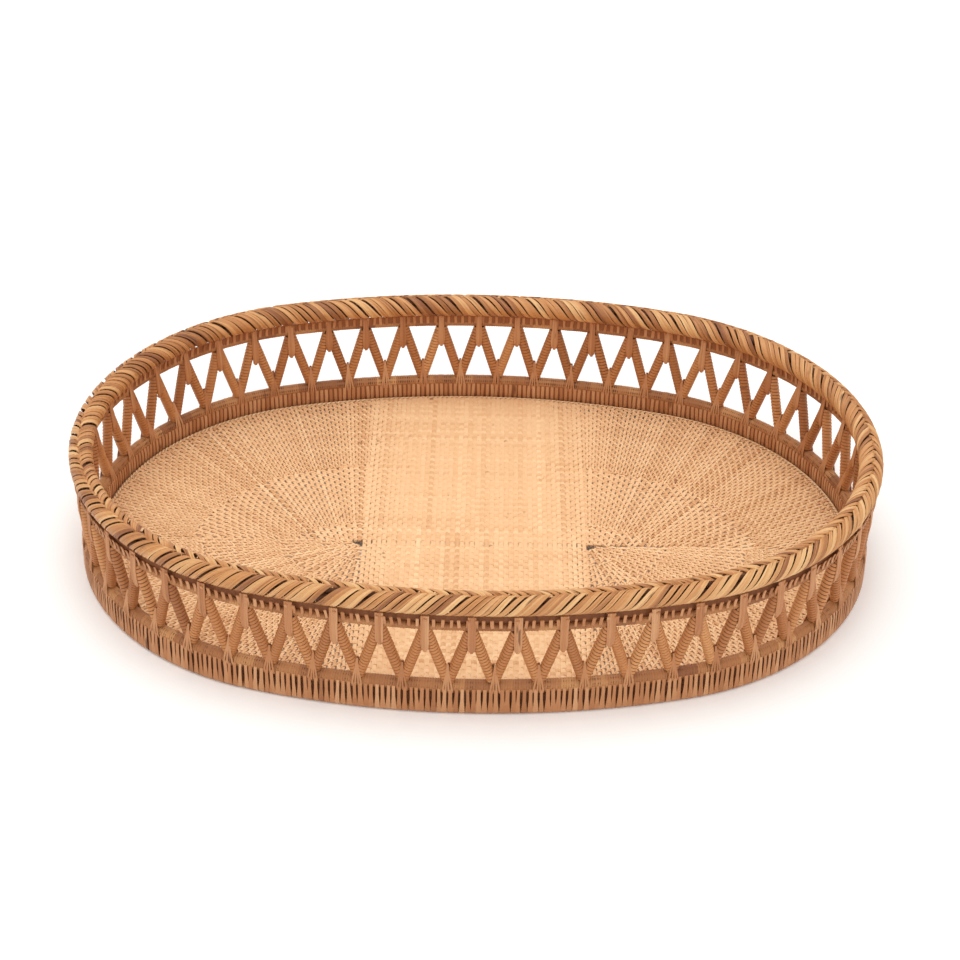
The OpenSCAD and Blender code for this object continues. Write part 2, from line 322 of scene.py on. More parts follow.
@dataclass
class Bundle:
    """Strips that are laid one by one and then become one piece."""

    section: Section = Section.HALF_ROUND
    longest: int = 96
    points: list[np.ndarray] = field(default_factory=list)
    walls: list[np.ndarray] = field(default_factory=list)
    ends: list[np.ndarray] = field(default_factory=list)
    uvs: list[np.ndarray] = field(default_factory=list)
    tones: list[np.ndarray] = field(default_factory=list)
    filled: int = 0

    def lay(
        self,
        path: np.ndarray,
        normal: np.ndarray,
        width: float | np.ndarray,
        thickness: float | np.ndarray,
        tone: float,
    ) -> None:
        """Bends a strip along a path.

        Args:
            path: Rows of x, y, z for the strip's middle.
            normal: The direction out of its flat face, one row for each point.
            width: Width of the strip, or one for each point.
            thickness: Thickness of the strip, or one for each point.
            tone: The strip's shade, from 0 light to 1 dark.
        """
        stock = Stock.get(self.section, len(path))
        along = unit(np.gradient(path, axis=0))
        normal = unit(normal - (normal * along).sum(-1, keepdims=True) * along)
        side = np.cross(normal, along)
        width = np.broadcast_to(width, len(path))
        thickness = np.broadcast_to(thickness, len(path))
        at = stock.station
        across = (stock.across * width[at])[:, None]
        through = (stock.through * thickness[at])[:, None]
        self.points.append(path[at] + across * side[at] + through * normal[at])
        run = np.concatenate([[0], np.linalg.norm(np.diff(path, axis=0), axis=1).cumsum()])
        shift = rng.uniform(0, 1, 2)
        self.uvs.append(np.stack([run[at] + shift[0], across[:, 0] + shift[1]], -1))
        self.tones.append(np.full(len(at), tone))
        self.walls.append(stock.walls + self.filled)
        self.ends.append(stock.ends + self.filled)
        self.filled += len(at)

    def lay_long(
        self,
        path: np.ndarray,
        normal: np.ndarray,
        width: float | np.ndarray,
        thickness: float,
        tones: tuple[float, float],
    ) -> None:
        """Lays a long path as several strips, end to end, each with its own shade.

        Args:
            path: Rows of x, y, z for the middle.
            normal: The direction out of the flat face, one row for each point.
            width: Width of the strips, or one for each point.
            thickness: Thickness of the strips.
            tones: Middle and spread of the shades.
        """
        width = np.broadcast_to(width, len(path))
        pieces = max(1, math.ceil((len(path) - 1) / (self.longest - 1)))
        cuts = np.rint(np.linspace(0, len(path) - 1, pieces + 1)).astype(int)
        for a, b in zip(cuts[:-1], cuts[1:]):
            part = slice(a, b + 1)
            self.lay(path[part], normal[part], width[part], thickness, shade(*tones))

    def lay_flat(
        self,
        path: np.ndarray,
        width: float | np.ndarray,
        thickness: float,
        tones: tuple[float, float],
    ) -> None:
        """Lays a long path with its flat face up, from the same values as lay_long."""
        self.lay_long(path, np.tile(UP, (len(path), 1)), width, thickness, tones)

    def piece(self, name: str) -> bpy.types.Object:
        """Makes the strips laid so far one object.

        Args:
            name: The object's name.

        Returns:
            The object, at the origin, with its place in its mesh.
        """
        mesh = bpy.data.meshes.new(name)
        faces = np.concatenate(self.walls).tolist() + np.concatenate(self.ends).tolist()
        mesh.from_pydata(np.concatenate(self.points), [], faces)
        corner = np.zeros(len(mesh.loops), np.int32)
        mesh.loops.foreach_get("vertex_index", corner)
        layer = mesh.uv_layers.new(name=SPLINT_UV)
        layer.uv.foreach_set("vector", np.concatenate(self.uvs)[corner].astype(np.float32).ravel())
        tone = mesh.attributes.new(TONE, "FLOAT", "POINT")
        tone.data.foreach_set("value", np.concatenate(self.tones).astype(np.float32))
        mesh.update()
        piece = bpy.data.objects.new(name, mesh)
        bpy.context.scene.collection.objects.link(piece)
        deselect()
        piece.select_set(True)
        bpy.context.view_layer.objects.active = piece
        bpy.ops.object.shade_smooth_by_angle(angle=math.radians(62))
        log.info("%s: %d triangles", name, sum(len(p.vertices) - 2 for p in mesh.polygons))
        return piece


def shade(middle: float, spread: float) -> float:
    """Returns a random shade between 0 and 1."""
    return float(np.clip(rng.normal(middle, spread), 0, 1))


# --- finishes ----------------------------------------------------------------------------


def add_node(
    tree: bpy.types.NodeTree, kind: str, links: dict[str | int, object] | None = None, **settings
) -> bpy.types.Node:
    """Adds a node with its settings, values and links.

    Args:
        tree: The material's node tree.
        kind: The node's type.
        links: For each input, by name or number, a value or the output socket to link.
        settings: The node's own properties.

    Returns:
        The node.
    """
    node = tree.nodes.new(kind)
    for key, value in settings.items():
        setattr(node, key, value)
    for key, value in (links or {}).items():
        if isinstance(value, bpy.types.NodeSocket):
            tree.links.new(value, node.inputs[key])
        else:
            node.inputs[key].default_value = value
    return node


def ramp(node: bpy.types.Node, stops: list[tuple[float, str]]) -> None:
    """Sets a colour ramp's stops, each a place from 0 to 1 and an sRGB hex colour."""
    elements = node.color_ramp.elements
    while len(elements) < len(stops):
        elements.new(0.5)
    for element, (place, colour) in zip(elements, stops):
        element.position = place
        element.color = linear(colour)


def new_material(name: str) -> tuple[bpy.types.Material, bpy.types.NodeTree, bpy.types.Node]:
    """Returns a new node material with its tree and its shader."""
    material = bpy.data.materials.new(name)
    material.use_nodes = True
    return material, material.node_tree, material.node_tree.nodes["Principled BSDF"]


def stretched_noise(
    tree: bpy.types.NodeTree, place: bpy.types.NodeSocket, size: tuple[float, float], detail: float
) -> bpy.types.NodeSocket:
    """Adds noise with grains of one length and width.

    Args:
        tree: The material's node tree.
        place: The coordinates, along and across.
        size: The grains' length and width.
        detail: How many finer layers it has.

    Returns:
        The noise's value.
    """
    scale = (1 / size[0], 1 / size[1], 1.0)
    mapped = add_node(tree, "ShaderNodeMapping", {"Vector": place, "Scale": scale})
    values = {"Vector": mapped.outputs["Vector"], "Scale": 1.0, "Detail": detail}
    return add_node(tree, "ShaderNodeTexNoise", values).outputs["Fac"]


def map_range(
    tree: bpy.types.NodeTree, value: bpy.types.NodeSocket, *ends: float
) -> bpy.types.NodeSocket:
    """Maps a value straight from one range, the first two ends, to another, the last two."""
    names = ("From Min", "From Max", "To Min", "To Max")
    values = {"Value": value, **dict(zip(names, ends))}
    return add_node(tree, "ShaderNodeMapRange", values).outputs["Result"]


@dataclass(frozen=True)
class SplitCane:
    """Cane peel, split by hand: fibres run along the strip, and each strip has its own shade.

    The outer skin of rattan is silica-rich, so it keeps a low gloss, while the split edges
    and the pores between the fibres are matt and darker.
    """

    name: str
    pale: str
    middle: str
    deep: str
    stain: str
    roughness: float = 0.5
    fibre_width: float = 0.35 * MM
    fibre_length: float = 14 * MM
    blotch: tuple[float, float] = (28 * MM, 9 * MM)
    stain_share: float = 0.08
    relief: float = 0.06 * MM
    gloss: float = 0.3

    def material(self) -> bpy.types.Material:
        """Makes the finish as a node material that follows each strip's own UV map."""
        material, tree, shader = new_material(self.name)
        shader.inputs["IOR"].default_value = 1.5
        shader.inputs["Specular IOR Level"].default_value = self.gloss
        uv = add_node(tree, "ShaderNodeUVMap", uv_map=SPLINT_UV)
        tone = add_node(tree, "ShaderNodeAttribute", attribute_name=TONE)
        place = uv.outputs["UV"]
        fibres = stretched_noise(tree, place, (self.fibre_length, self.fibre_width), 4.0)
        blotches = stretched_noise(tree, place, self.blotch, 2.0)
        part = add_node(
            tree,
            "ShaderNodeMath",
            {0: fibres, 1: 0.5, 2: tone.outputs["Fac"]},
            operation="MULTIPLY_ADD",
        )
        level = add_node(
            tree, "ShaderNodeMath", {0: part.outputs[0], 1: 0.25}, operation="SUBTRACT"
        )
        body = add_node(tree, "ShaderNodeValToRGB", {"Fac": level.outputs[0]})
        ramp(body, [(0.0, self.pale), (0.5, self.middle), (1.0, self.deep)])
        edge = 0.35 + 0.4 * (1 - self.stain_share)
        stained = map_range(tree, blotches, edge - 0.03, edge + 0.03, 0.0, 0.75)
        colour = add_node(
            tree,
            "ShaderNodeMix",
            {"Factor": stained, 6: body.outputs["Color"], 7: linear(self.stain)},
            data_type="RGBA",
        )
        tree.links.new(colour.outputs[2], shader.inputs["Base Color"])
        rough = map_range(tree, fibres, 0.3, 0.7, self.roughness - 0.08, self.roughness + 0.12)
        tree.links.new(rough, shader.inputs["Roughness"])
        bump = add_node(
            tree,
            "ShaderNodeBump",
            {"Height": fibres, "Distance": self.relief, "Strength": 0.8},
        )
        tree.links.new(bump.outputs["Normal"], shader.inputs["Normal"])
        return material


@dataclass(frozen=True)
class PeeledRattan:
    """Rattan rod with its skin off: matt and porous, with a fine open grain."""

    name: str
    pale: str
    deep: str
    pore: float = 0.7 * MM
    roughness: float = 0.75

    def material(self) -> bpy.types.Material:
        """Makes the finish as a node material on Object coordinates."""
        material, tree, shader = new_material(self.name)
        shader.inputs["Roughness"].default_value = self.roughness
        place = add_node(tree, "ShaderNodeTexCoord")
        pores = add_node(
            tree,
            "ShaderNodeTexNoise",
            {"Vector": place.outputs["Object"], "Scale": 1 / self.pore, "Detail": 3.0},
        )
        body = add_node(tree, "ShaderNodeValToRGB", {"Fac": pores.outputs["Fac"]})
        ramp(body, [(0.3, self.deep), (0.7, self.pale)])
        tree.links.new(body.outputs["Color"], shader.inputs["Base Color"])
        bump = add_node(
            tree, "ShaderNodeBump", {"Height": pores.outputs["Fac"], "Distance": 0.05 * MM}
        )
        tree.links.new(bump.outputs["Normal"], shader.inputs["Normal"])
        return material


class Finish(Enum):
    """The tray's finishes, by what each strip is."""

    FLOOR_CANE = SplitCane(
        "floor cane", "#f4cda0", "#e8b98a", "#c98f5e", "#8a5732", stain_share=0.03, roughness=0.6
    )
    WRAP_CANE = SplitCane("binding cane", "#c8925f", "#a97044", "#855030", "#56301a")
    STRUT_CANE = SplitCane(
        "strut cane", "#d69c66", "#bb7b49", "#945a34", "#5a321a", fibre_length=9 * MM
    )
    STRIP_CANE = SplitCane("flat cane strip", "#cb976c", "#b4794e", "#8f5836", "#58321c")
    RIM_CANE = SplitCane(
        "braided rim cane",
        "#e2b67f",
        "#c48851",
        "#87502c",
        "#4c2812",
        roughness=0.42,
        stain_share=0.16,
        gloss=0.45,
    )
    # Painted shade: the core's colours are darkened so the gaps where it shows through read as
    # shade.
    CORE_DARKENED_FOR_SHADE = PeeledRattan("peeled rattan core darkened for shade", "#75492c", "#4c2c19")


def dress(piece: bpy.types.Object, finish: Finish, made: dict[Finish, bpy.types.Material]) -> None:
    """Puts a finish on a piece, making its material the first time."""
    if finish not in made:
        made[finish] = finish.value.material()
    piece.data.materials.clear()
    piece.data.materials.append(made[finish])


# --- sub-assemblies ----------------------------------------------------------------------


@dataclass
class SubAssembly:
    """What every sub-assembly has: the tray's measures and the finishes made so far."""

    tray: Tray
    finishes: dict[Finish, bpy.types.Material]

    def hand_over(
        self, bundle: Bundle, name: str, finish: Finish, slot: str, *nodes: str
    ) -> None:
        """Makes a bundle one piece, dresses it and sets it on the frame.

        Args:
            bundle: The strips.
            name: The piece's name.
            finish: What it is made of.
            slot: Name of a material slot; not used.
            nodes: The CAD nodes that it stands for.
        """
        piece = bundle.piece(name)
        dress(piece, finish, self.finishes)
        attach(piece, BODY)
        if nodes:
            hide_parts(*nodes)

    def dress_nodes(self, finish: Finish, *nodes: str) -> None:
        """Gives CAD nodes that stay as they are a better material."""
        for node in nodes:
            dress(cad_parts[node], finish, self.finishes)

    def section_strip(
        self,
        bundle: Bundle,
        s: np.ndarray | float,
        d: np.ndarray,
        z: np.ndarray,
        size: tuple[float | np.ndarray, float],
        tone: float,
        facing: float = 1.0,
    ) -> None:
        """Lays a strip that runs mostly up the wall.

        Args:
            bundle: Where the strip goes.
            s: Its places along the oval.
            d: Its distances out.
            z: Its heights.
            size: Its width and thickness.
            tone: Its shade.
            facing: 1 if its flat face looks out, -1 if it looks in.
        """
        path = self.tray.guide.place(s, d, z)
        normal = facing * self.tray.guide.outward(np.broadcast_to(s, len(path)))
        bundle.lay(path, normal, size[0], size[1], tone)


@dataclass
class HoopWraps(SubAssembly):
    """Fine cane wound close round the foot, the lower and the upper ring."""

    turn_pitch: float = 1.55 * MM
    cover: float = 0.98
    stations: int = 8
    thickness: float = 0.5 * MM

    def wind(self, ring: Ring, floor: float | None) -> Bundle:
        """Winds one ring.

        Args:
            ring: The hoop over its wrap.
            floor: Height that the wrap is pressed flat at, if it stands on something.

        Returns:
            The wrap.
        """
        guide, bundle = self.tray.guide, Bundle(Section.FINE, longest=self.stations * 9 + 1)
        turns = round(guide.length / self.turn_pitch)
        count = turns * self.stations + 1
        share = np.linspace(0, 1, count)
        s = share * guide.length
        angle = 2 * math.pi * turns * share
        waver = np.interp(share * turns, np.arange(turns + 1), wobble(turns + 1, 0.06 * MM))
        reach = -self.thickness / 2 + waver
        d = ring.d + (ring.radius + reach) * np.cos(angle)
        z = ring.z + (ring.radius + reach) * np.sin(angle)
        if floor is not None:
            z = np.maximum(z, floor + self.thickness / 2)
        path = guide.place(s, d, z)
        width = self.turn_pitch * self.cover
        bundle.lay_long(path, guide.around(s, angle), width, self.thickness, (0.5, 0.17))
        return bundle

    def build(self) -> None:
        """Winds the three rings and dresses the rods inside them."""
        tray = self.tray
        jobs = (
            ("foot_ring_wrap", tray.foot, 0.0, "foot_wrap"),
            ("lower_ring_winding", tray.lower, None, "lower_ring_wrap"),
            ("upper_ring_winding", tray.upper, None, "upper_ring_wrap"),
        )
        for name, ring, floor, node in jobs:
            wrap = self.wind(ring, floor)
            self.hand_over(wrap, name, Finish.WRAP_CANE, "cane_wrap", node)
        self.dress_nodes(Finish.CORE_DARKENED_FOR_SHADE, "foot_rod", "lower_ring_rod", "upper_ring_rod")


@dataclass
class StrutWraps(SubAssembly):
    """Cane wound round the struts of the zigzag wall."""

    radius: float = 3.3 * MM
    join: float = 0.6 * MM
    turn_pitch: float = 2.2 * MM
    cover: float = 0.8
    stations: int = 9
    thickness: float = 0.9 * MM

    def ends(self, unit_number: int, lean: int) -> tuple[np.ndarray, np.ndarray]:
        """Returns the foot and the head of a strut's centreline.

        Args:
            unit_number: Which zigzag unit.
            lean: 1 if the strut leans along s as it rises, or -1.

        Returns:
            Two points.
        """
        tray = self.tray
        s = unit_number * tray.pitch
        foot_z, head_z = tray.lower.z + tray.lower.radius, tray.upper.z - tray.upper.radius
        foot = tray.guide.place(s - lean * (tray.pitch / 2 - self.join), tray.wall(foot_z), foot_z)
        head = tray.guide.place(s - lean * self.join, tray.wall(head_z), head_z)
        return foot, head

    def wind(self, lean: int) -> Bundle:
        """Winds all the struts that lean one way.

        Args:
            lean: 1 or -1, as for ends.

        Returns:
            The wraps.
        """
        bundle = Bundle()
        for unit_number in range(self.tray.units):
            foot, head = self.ends(unit_number, lean)
            axis = head - foot
            long = np.linalg.norm(axis)
            axis = axis / long
            side = unit(np.cross(axis, UP))
            out = np.cross(side, axis)
            turns = long / (self.turn_pitch * (1 + wobble(1, 0.04)[0]))
            count = round(turns * self.stations) + 1
            share = np.linspace(0, 1, count)
            angle = 2 * math.pi * turns * share * lean + rng.uniform(0, 6)
            normal = np.cos(angle)[:, None] * side + np.sin(angle)[:, None] * out
            swell = 1 + 0.05 * np.sin(math.pi * share)
            reach = (self.radius * swell - self.thickness / 2)[:, None]
            path = foot + share[:, None] * long * axis + reach * normal
            tone = shade(0.5, 0.16)
            half = count // 2 + 1
            for part in (slice(0, half), slice(half - 1, count)):
                width = self.turn_pitch * self.cover
                bundle.lay(path[part], normal[part], width, self.thickness, tone)
        return bundle

    def build(self) -> None:
        """Winds both sets of struts and dresses the rods inside them."""
        for name, lean, node in (
            ("strut_windings_left", 1, "strut_wraps_left"),
            ("strut_windings_right", -1, "strut_wraps_right"),
        ):
            self.hand_over(self.wind(lean), name, Finish.STRUT_CANE, "strut_cane", node)
        self.dress_nodes(Finish.CORE_DARKENED_FOR_SHADE, "struts_rising_left", "struts_rising_right")


@dataclass
class BaseLadder(SubAssembly):
    """Flat strips that hold the foot ring and the floor under the lower ring."""

    per_unit: int = 8
    width: float = 2.0 * MM
    rib: tuple[float, float] = (2.1 * MM, 0.8 * MM)
    # Size of the dark strip laid behind the inner strips; its darkest tone is painted shade in the
    # gaps.
    shade_backing: tuple[float, float] = (3.45 * MM, 0.4 * MM)
    thickness: float = 0.6 * MM

    def build(self) -> None:
        """Lays the outer strips round the foot and the inner ones down to the floor, and behind the
        inner ones a dark backing that is painted shade in the gaps.
        """
        tray = self.tray
        count = tray.units * self.per_unit
        spots = (np.arange(count) + 0.5) * tray.guide.length / count
        stagger = 0.5 * tray.guide.length / count
        outer, inner = Bundle(), Bundle()
        face = tray.foot.d + tray.foot.radius + self.thickness / 2
        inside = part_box("base_strips_inner")[1].x - tray.guide.half_length - self.thickness / 2
        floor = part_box("base_strips_inner")[0].z
        under = tray.foot.around(np.radians([-35.0, -62.0]), -0.05 * MM)
        for s in spots:
            lean = wobble(1, 0.3 * MM)[0]
            steps = np.array([0.0, 0.0, 0.35, 0.7, 1.0, 1.0, 1.0])
            z = np.array([tray.lower.z + 0.2 * MM, tray.lower.z - 2.2 * MM, 11 * MM, 7 * MM,
                          tray.foot.z, under[1][0], under[1][1]])
            z[-1] = max(z[-1], self.thickness / 2)
            d = np.array([face - 0.45 * MM, face, face, face, face, under[0][0], under[0][1]])
            closing = np.array([1.0, 1.0, 1.0, 1.3, 1.66, 1.7, 1.7])
            size = (self.width * (1 + wobble(1, 0.08)[0]) * closing, self.thickness)
            place = s + lean * steps + wobble(1, 0.2 * MM)[0]
            self.section_strip(outer, place, d, z, size, shade(0.42, 0.17))
            z = np.array([tray.lower.z - 0.5 * MM, tray.lower.z - 3 * MM, 12 * MM, floor + 1 * MM,
                          tray.foot.z + 1.6 * MM, tray.foot.z + 0.8 * MM])
            d = np.array([inside + 0.3 * MM, inside, inside, inside + 0.2 * MM,
                          tray.foot.d - 3 * MM, tray.foot.d - 1.2 * MM])
            place = s + stagger + lean * np.array([0, 0.3, 0.6, 1, 1, 1])
            self.section_strip(inner, place, d, z, self.rib, shade(0.3, 0.14), facing=-1)
            # Painted shade: a dark strip at the darkest tone behind the inner strips, so the gaps
            # read as shade.
            behind = d + 0.5 * MM
            self.section_strip(inner, place + stagger, behind, z, self.shade_backing, 1.0, facing=-1)
        for bundle, place in ((outer, "outer"), (inner, "inner")):
            name, node = f"base_ladder_{place}", f"base_strips_{place}"
            self.hand_over(bundle, name, Finish.STRIP_CANE, "cane_strip", node)


@dataclass
class Ties(SubAssembly):
    """Lashings at the zigzag's joints, outside and inside the wall."""

    strands: int = 4
    top_width: float = 1.2 * MM
    bottom_width: float = 1.05 * MM
    top_thickness: float = 0.95 * MM
    thickness: float = 0.6 * MM
    tip: float = 17.5 * MM
    splay: float = 2.8 * MM

    def top(self, bundle: Bundle, unit_number: int, side: int) -> None:
        """Lays one top lashing, from the rim over the upper ring to its rounded tip.

        Args:
            bundle: Where the strands go.
            unit_number: Which zigzag unit.
            side: 1 outside the wall, -1 inside.
        """
        tray = self.tray
        s = unit_number * tray.pitch + wobble(1, 0.3 * MM)[0]
        drop = self.tip + wobble(1, 1.0 * MM)[0]
        tone = shade(0.4, 0.12)
        for strand in range(self.strands):
            place = strand - (self.strands - 1) / 2
            high = tray.rim.z - tray.rim.radius * 0.86
            low = tray.upper.z - drop + abs(place) * 1.1 * MM
            z = np.array([high, tray.upper.z + 3 * MM, tray.upper.z, tray.upper.z - 4 * MM,
                          (tray.upper.z - 4 * MM + low) / 2, low + 2.0 * MM, low])
            lift = np.array([2.2, 2.6, 2.9, 3.3, 3.5, 3.1, 2.0]) * MM
            neck = 1.0 if side > 0 else 0.68
            spread = np.array([neck, neck, neck, 0.92, 1.0, 0.85, 0.55])
            d = tray.wall(z) + side * lift
            along = s + place * (self.top_width * 1.02) * spread
            size = (self.top_width, self.top_thickness)
            self.section_strip(bundle, along, d, z, size, tone + wobble(1, 0.12)[0], side)

    def bottom(self, bundle: Bundle, unit_number: int, side: int) -> None:
        """Lays one bottom lashing, splayed over the lower ring.

        Args:
            bundle: Where the strands go.
            unit_number: Which zigzag unit.
            side: 1 outside the wall, -1 inside.
        """
        tray = self.tray
        s = (unit_number + 0.5) * tray.pitch + wobble(1, 0.4 * MM)[0]
        tone = shade(0.36, 0.12)
        rise = np.array([16.5, 13.5, 9.5, 6.0, 2.8, 0.0, -2.6, -4.0])
        lift = np.array([0.9, 2.0, 2.75, 3.5, 4.2, 4.45, 3.8, 2.2])
        spread = np.array([0.06, 0.14, 0.36, 0.6, 0.8, 0.95, 1.0, 1.0])
        for strand in range(self.strands):
            place = 2 * strand / (self.strands - 1) - 1 + wobble(1, 0.06)[0]
            z = tray.lower.z + rise * MM
            d = tray.wall(z) + side * lift * MM
            along, size = s + place * self.splay * spread, (self.bottom_width, self.thickness)
            self.section_strip(bundle, along, d, z, size, tone + shade(0, 0.06), side)

    def build(self) -> None:
        """Lays every lashing."""
        for side, place in ((1, "outer"), (-1, "inner")):
            top, bottom = Bundle(), Bundle()
            for unit_number in range(self.tray.units):
                self.top(top, unit_number, side)
                self.bottom(bottom, unit_number, side)
            for bundle, kind in ((top, "top"), (bottom, "bottom")):
                name, node = f"{kind}_lashings_{place}", f"{kind}_ties_{place}"
                self.hand_over(bundle, name, Finish.STRIP_CANE, "cane_strip", node)


@dataclass
class RimLadder(SubAssembly):
    """Short strips between the upper ring and the rim, one to each strand of the rim."""

    strips: int = 290
    width: float = 1.9 * MM
    # Size of the dark strip laid behind the gaps of the inner strips; its darkest tone is painted
    # shade.
    shade_backing: tuple[float, float] = (4.95 * MM, 0.4 * MM)
    thickness: float = 0.8 * MM

    def build(self) -> None:
        """Lays the strips outside and inside, and behind the gaps between the inner ones a dark
        backing that is painted shade.
        """
        tray = self.tray
        for side, place in ((1, "outer"), (-1, "inner")):
            bundle = Bundle()
            pitch = tray.guide.length / self.strips
            for number in range(self.strips):
                s = number * pitch + wobble(1, 0.2 * MM)[0]
                z = tray.upper.z + np.array([0.9, 1.7, 3.0, 5.0, 7.0]) * MM
                lift = np.array([2.1, 2.0, 2.1, 2.5, 3.2]) * MM
                d = tray.wall(z) + side * lift
                lean = wobble(1, 0.4 * MM)[0] * np.linspace(0, 1, len(z))
                size = (self.width * (1 + wobble(1, 0.1)[0]), self.thickness)
                self.section_strip(bundle, s + lean, d, z, size, shade(0.4, 0.15), side)
                if side < 0:
                    # Painted shade: a dark strip at the darkest tone behind each gap, standing in
                    # for the shade there.
                    middle, behind = (number + 0.5) * pitch, d + 0.5 * MM
                    self.section_strip(bundle, middle, behind, z, self.shade_backing, 1.0, side)
            name, node = f"rim_ladder_{place}", f"rim_strips_{place}"
            self.hand_over(bundle, name, Finish.STRIP_CANE, "cane_strip", node)


@dataclass
class RimBraid(SubAssembly):
    """The rolled rim: slanting strands that meet in chevrons along a ridge."""

    strands: int = 290
    splints: int = 3
    ridge: float = math.radians(80)
    width: float = 1.12 * MM
    thickness: float = 1.1 * MM
    stations: int = 11
    outer_advance: float = 20 * MM
    inner_advance: float = 19 * MM
    shingle: float = math.radians(10)
    outer_start: float = math.radians(-104)
    inner_start: float = math.radians(262)
    overlap: float = math.radians(9)

    def half(self, side: int) -> Bundle:
        """Lays one side's strands, from under the rim to the ridge.

        Args:
            side: 1 outside, -1 inside.

        Returns:
            The strands.
        """
        guide, rim, bundle = self.tray.guide, self.tray.rim, Bundle()
        start = self.outer_start if side > 0 else self.inner_start
        tuck = self.overlap * side
        advance = self.outer_advance if side > 0 else self.inner_advance
        share = np.linspace(0, 1, self.stations)
        pitch = guide.length / self.strands
        for strand in range(self.strands):
            base = strand * pitch + wobble(1, 0.35 * MM)[0]
            # Painted shade: strands on the back left of the rim get a darker tone.
            far = guide.outward(np.array([base]))[0] @ np.array([-0.45, 0.6, 0.0])
            tone = shade(0.5 + 0.14 * far, 0.2)
            reach = advance * (1 + wobble(1, 0.06)[0])
            end = self.ridge + tuck + wobble(1, 0.03)[0]
            for splint in range(self.splints):
                split = (splint - (self.splints - 1) / 2) * pitch * 0.3
                angle = start + (end - start) * share
                s = base + split * (1 - 0.25 * share) + reach * (0.4 * share + 0.6 * share**2)
                lift = -self.thickness / 2 + np.interp(
                    share, [0, 0.08, 0.5, 0.9, 1], [-0.9 * MM, -0.05 * MM, 0.1 * MM, 0.0, -1.1 * MM]
                )
                d, z = rim.around(angle, lift + wobble(1, 0.08 * MM)[0])
                path = guide.place(s, d, z)
                normal = guide.around(s, angle)
                along = unit(np.gradient(path, axis=0))
                sideways = np.cross(normal, along)
                roll = self.shingle * side
                normal = math.cos(roll) * normal + math.sin(roll) * sideways
                width = self.width * np.interp(share, [0, 0.2, 0.8, 1], [0.6, 1.0, 1.0, 0.6])
                bundle.lay(
                    path,
                    normal,
                    width * (1 + wobble(1, 0.1)[0]),
                    self.thickness,
                    float(np.clip(tone + wobble(1, 0.09)[0], 0, 1)),
                )
        return bundle

    def build(self) -> None:
        """Lays both halves and dresses the core rods."""
        for name, side, node in (
            ("rim_strands_outer", 1, "rim_braid_outer"),
            ("rim_strands_inner", -1, "rim_braid_inner"),
        ):
            self.hand_over(self.half(side), name, Finish.RIM_CANE, "rim_cane", node)
        self.dress_nodes(Finish.CORE_DARKENED_FOR_SHADE, "rim_core_top", "rim_core_outer", "rim_core_inner")


@dataclass
class Stake:
    """A straight stake of the floor; the rows cross it at distances from its origin."""

    origin: np.ndarray
    heading: np.ndarray
    start: float
    end: float
    stop: float
    rank: int
    spread: float = 0.0
    seam: float = 0.0

    def at(self, distance: np.ndarray) -> np.ndarray:
        """Returns points at distances from the origin."""
        return self.origin + np.asarray(distance)[..., None] * self.heading

    def step(self, distance: float) -> int:
        """Returns how many ranks lie between neighbours there: 1, or 2, 4 near a focus."""
        gap, step = self.spread * distance, 1
        while self.spread and gap * step < FINEST_GAP:
            step *= 2
        return step

    def gap(self, distance: float, pitch: float) -> float:
        """Returns the distance to the neighbours there, or the pitch between parallel ones."""
        return self.spread * distance * self.step(distance) if self.spread else pitch

    def over(self, row: int, distance: float) -> int:
        """Returns 1 where the stake passes over the row and -1 where under."""
        return 1 if (self.rank // self.step(distance) + row) % 2 == 0 else -1


